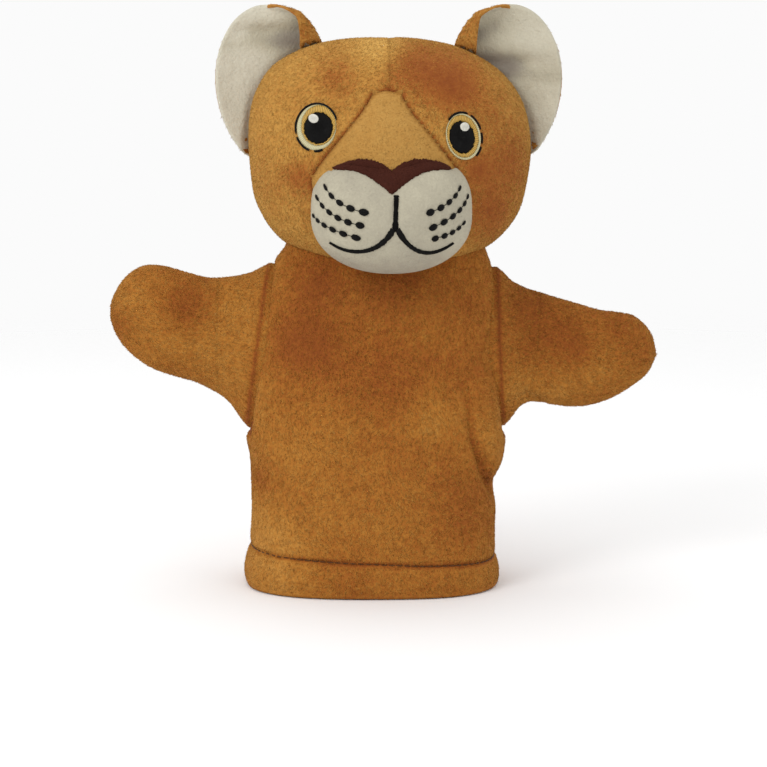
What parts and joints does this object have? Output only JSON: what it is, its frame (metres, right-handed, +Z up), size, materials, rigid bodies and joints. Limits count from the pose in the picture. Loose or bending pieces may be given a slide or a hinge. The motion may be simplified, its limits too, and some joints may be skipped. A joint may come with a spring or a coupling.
{
  "type": "animal hand puppet",
  "caption": "Plush glove puppet with a rounded animal head on a finger pocket, cupped ears, a stitched face and two mitten arms on a hemmed sleeve body",
  "frame": {"origin": "middle of the wrist opening, in the plane of the hem's lower edge", "axes": "+Z up the sleeve towards the head, -Y out of the face, +X to the right of someone who looks at the face"},
  "size_m": [0.2181, 0.1089, 0.2283],
  "materials": {
    "golden_plush": "short brushed pile",
    "head_plush": "short brushed pile",
    "pale_gold_plush": "short brushed pile",
    "cream_plush": "short clipped pile",
    "lining_cloth": "plain woven",
    "fibre_filling": "loose polyester wadding",
    "nose_brown_satin": "fuzzy satin stitch",
    "dark_thread": "embroidery thread",
    "gold_thread": "embroidery thread",
    "white_thread": "embroidery thread"
  },
  "bodies": {
    "glove_body": {"front_panel": "golden_plush", "back_panel": "golden_plush", "hem_facing": "golden_plush", "hem_topstitch": "dark_thread"},
    "neck": {"neck_sleeve": "lining_cloth"},
    "neck_seam": {"neck_thread": "dark_thread"},
    "head": {"bridge_gusset": "pale_gold_plush", "chin_panel": "cream_plush", "face_left": "head_plush", "face_right": "head_plush", "finger_pocket": "lining_cloth", "head_back_left": "head_plush", "head_back_right": "head_plush", "head_stuffing": "fibre_filling", "left_ear_back": "head_plush", "left_ear_lining": "cream_plush", "left_eye_highlight": "white_thread", "left_eye_iris": "gold_thread", "left_eye_outline": "dark_thread", "left_eye_pupil": "dark_thread", "mouth_centre_stitch": "dark_thread", "mouth_left_stitch": "dark_thread", "mouth_right_stitch": "dark_thread", "muzzle": "cream_plush", "muzzle_stuffing": "fibre_filling", "nose": "nose_brown_satin", "right_ear_back": "head_plush", "right_ear_lining": "cream_plush", "right_eye_highlight": "white_thread", "right_eye_iris": "gold_thread", "right_eye_outline": "dark_thread", "right_eye_pupil": "dark_thread", "whisker_left_lower": "dark_thread", "whisker_left_middle": "dark_thread", "whisker_left_upper": "dark_thread", "whisker_right_lower": "dark_thread", "whisker_right_middle": "dark_thread", "whisker_right_upper": "dark_thread"},
    "left_shoulder": {"left_armhole_thread": "dark_thread"},
    "left_arm": {"left_arm_front": "golden_plush", "left_arm_back": "golden_plush"},
    "right_shoulder": {"right_armhole_thread": "dark_thread"},
    "right_arm": {"right_arm_front": "golden_plush", "right_arm_back": "golden_plush"}
  },
  "joints": [
    {"name": "head_turn", "type": "hinge", "parent": "glove_body", "child": "neck", "pos_m": [0.005, 0, 0.12], "axis": [0, 0, 1], "range_deg": [-25, 25]},
    {"name": "head_nod", "type": "hinge", "parent": "neck", "child": "neck_seam", "pos_m": [0.005, 0, 0.1315], "axis": [1, 0, 0], "range_deg": [-18, 14]},
    {"name": "head_tilt", "type": "hinge", "parent": "neck_seam", "child": "head", "pos_m": [0.005, 0, 0.1315], "axis": [0, 1, 0], "range_deg": [-10, 10]},
    {"name": "left_arm_raise", "type": "hinge", "parent": "glove_body", "child": "left_shoulder", "pos_m": [-0.04539, 0, 0.0955], "axis": [0, 1, 0], "range_deg": [-42, 16]},
    {"name": "left_arm_clap", "type": "hinge", "parent": "left_shoulder", "child": "left_arm", "pos_m": [-0.04539, 0, 0.0955], "axis": [0.2419, 0, 0.9703], "range_deg": [-20, 35]},
    {"name": "right_arm_raise", "type": "hinge", "parent": "glove_body", "child": "right_shoulder", "pos_m": [0.04961, 0, 0.0955], "axis": [0, -1, 0], "range_deg": [-25, 32]},
    {"name": "right_arm_clap", "type": "hinge", "parent": "right_shoulder", "child": "right_arm", "pos_m": [0.04961, 0, 0.0955], "axis": [-0.0523, 0, -0.9986], "range_deg": [-20, 35]}
  ]
}
